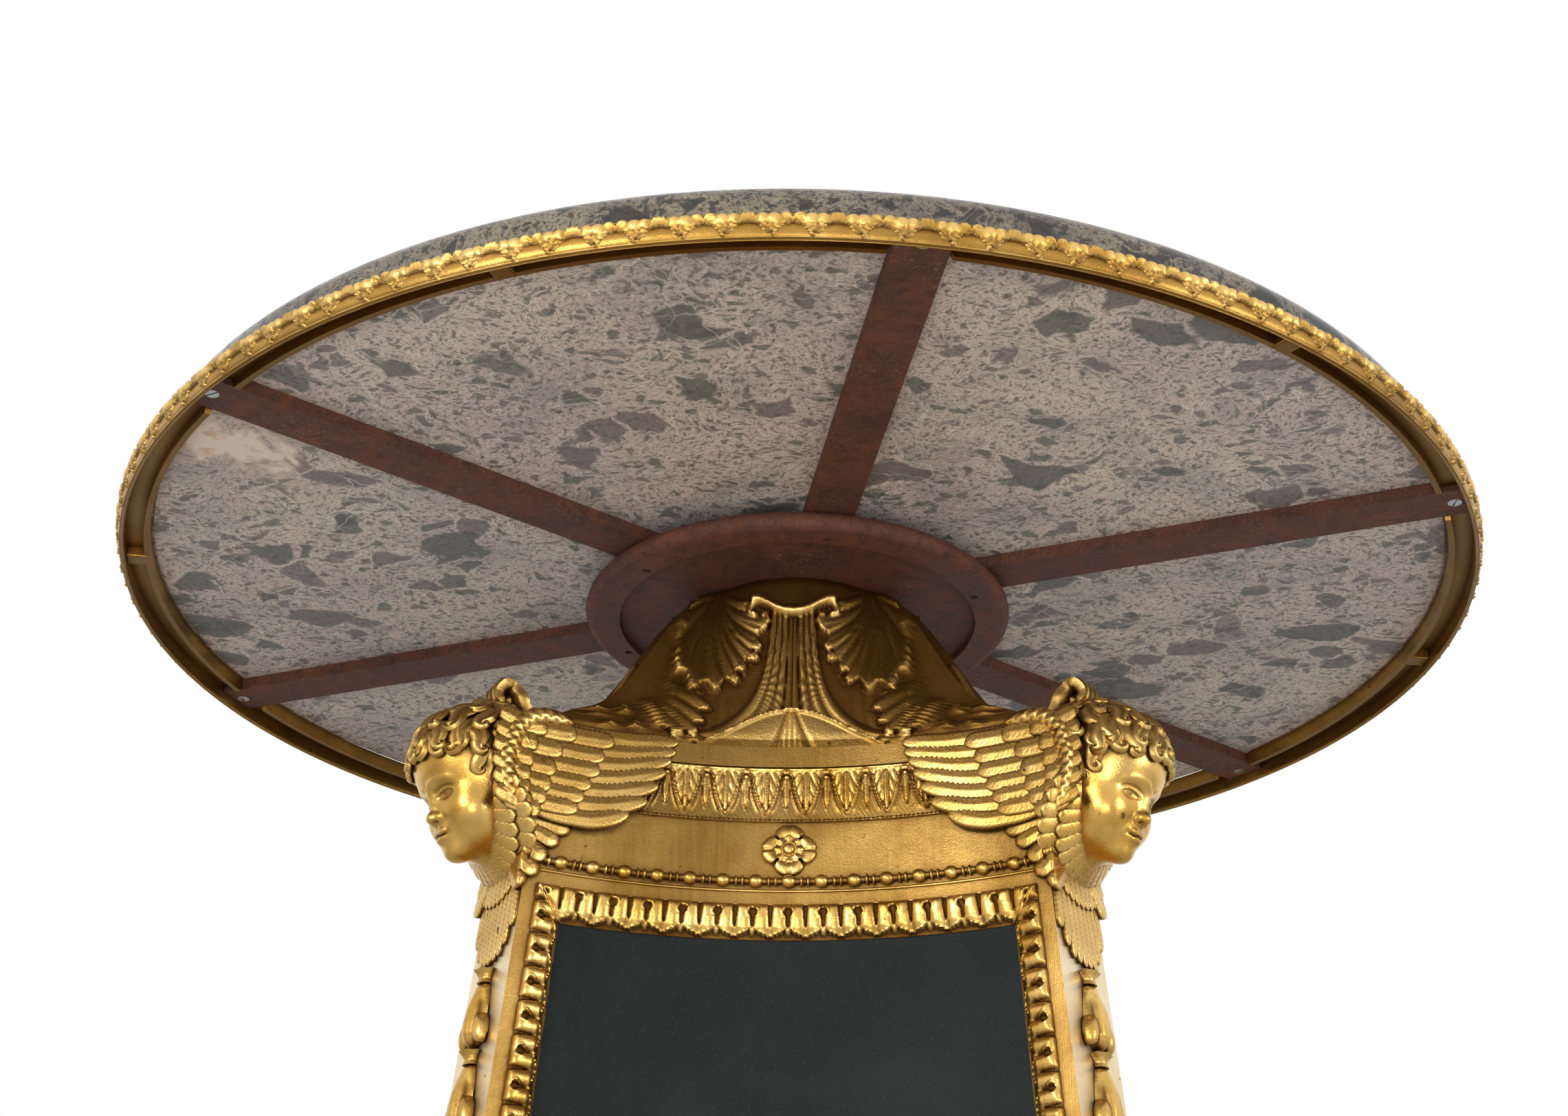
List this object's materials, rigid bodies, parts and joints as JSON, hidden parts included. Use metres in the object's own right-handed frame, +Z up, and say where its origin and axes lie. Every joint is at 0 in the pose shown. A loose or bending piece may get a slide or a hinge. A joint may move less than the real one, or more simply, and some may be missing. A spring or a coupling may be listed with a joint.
{
  "type": "gueridon",
  "caption": "Round marble-topped side table with a leaf-cast bronze rim on iron straps, over a three-sided bronze pedestal with winged child heads, framed dark panels and a stepped base.",
  "frame": {"origin": "on the floor under the middle of the table", "axes": "+Z up, -Y through the middle of the first face of the pedestal"},
  "size_m": [0.8666, 0.8666, 0.84],
  "materials": {
    "marble": "polished breccia",
    "gilt": "gilt, burnished and matte",
    "shaded_gilt": "gilt, darkened",
    "iron": "rust-brown",
    "steel": "bright",
    "patina": "dark green-black, satin"
  },
  "bodies": {
    "root": {"marble_top": "marble", "rim_band": "gilt", "strap_1": "iron", "strap_2": "iron", "strap_3": "iron", "strap_4": "iron", "strap_5": "iron", "strap_6": "iron", "rim_screws": "steel", "strap_rivets": "iron", "crown_disc": "iron", "tie_rod": "iron", "rod_nuts": "iron", "bell": "shaded_gilt", "arm_scroll_1": "shaded_gilt", "arm_scroll_2": "shaded_gilt", "arm_scroll_3": "shaded_gilt", "cornice": "gilt", "leaf_frieze_1": "gilt", "leaf_frieze_2": "gilt", "leaf_frieze_3": "gilt", "face_plate_1": "gilt", "face_plate_2": "gilt", "face_plate_3": "gilt", "rosette_1": "gilt", "rosette_2": "gilt", "rosette_3": "gilt", "bead_moulding_1": "gilt", "bead_moulding_2": "gilt", "bead_moulding_3": "gilt", "panel_frame_1": "gilt", "panel_frame_2": "gilt", "panel_frame_3": "gilt", "panel_1": "patina", "panel_2": "patina", "panel_3": "patina", "corner_post_1": "gilt", "corner_post_2": "gilt", "corner_post_3": "gilt", "husk_chain_1": "gilt", "husk_chain_2": "gilt", "husk_chain_3": "gilt", "cherub_head_1": "gilt", "cherub_head_2": "gilt", "cherub_head_3": "gilt", "upper_wings_1": "gilt", "upper_wings_2": "gilt", "upper_wings_3": "gilt", "lower_wings_1": "gilt", "lower_wings_2": "gilt", "lower_wings_3": "gilt", "base_moulding": "gilt", "plinth": "patina", "foot_1": "gilt", "foot_2": "gilt", "foot_3": "gilt"}
  },
  "joints": []
}
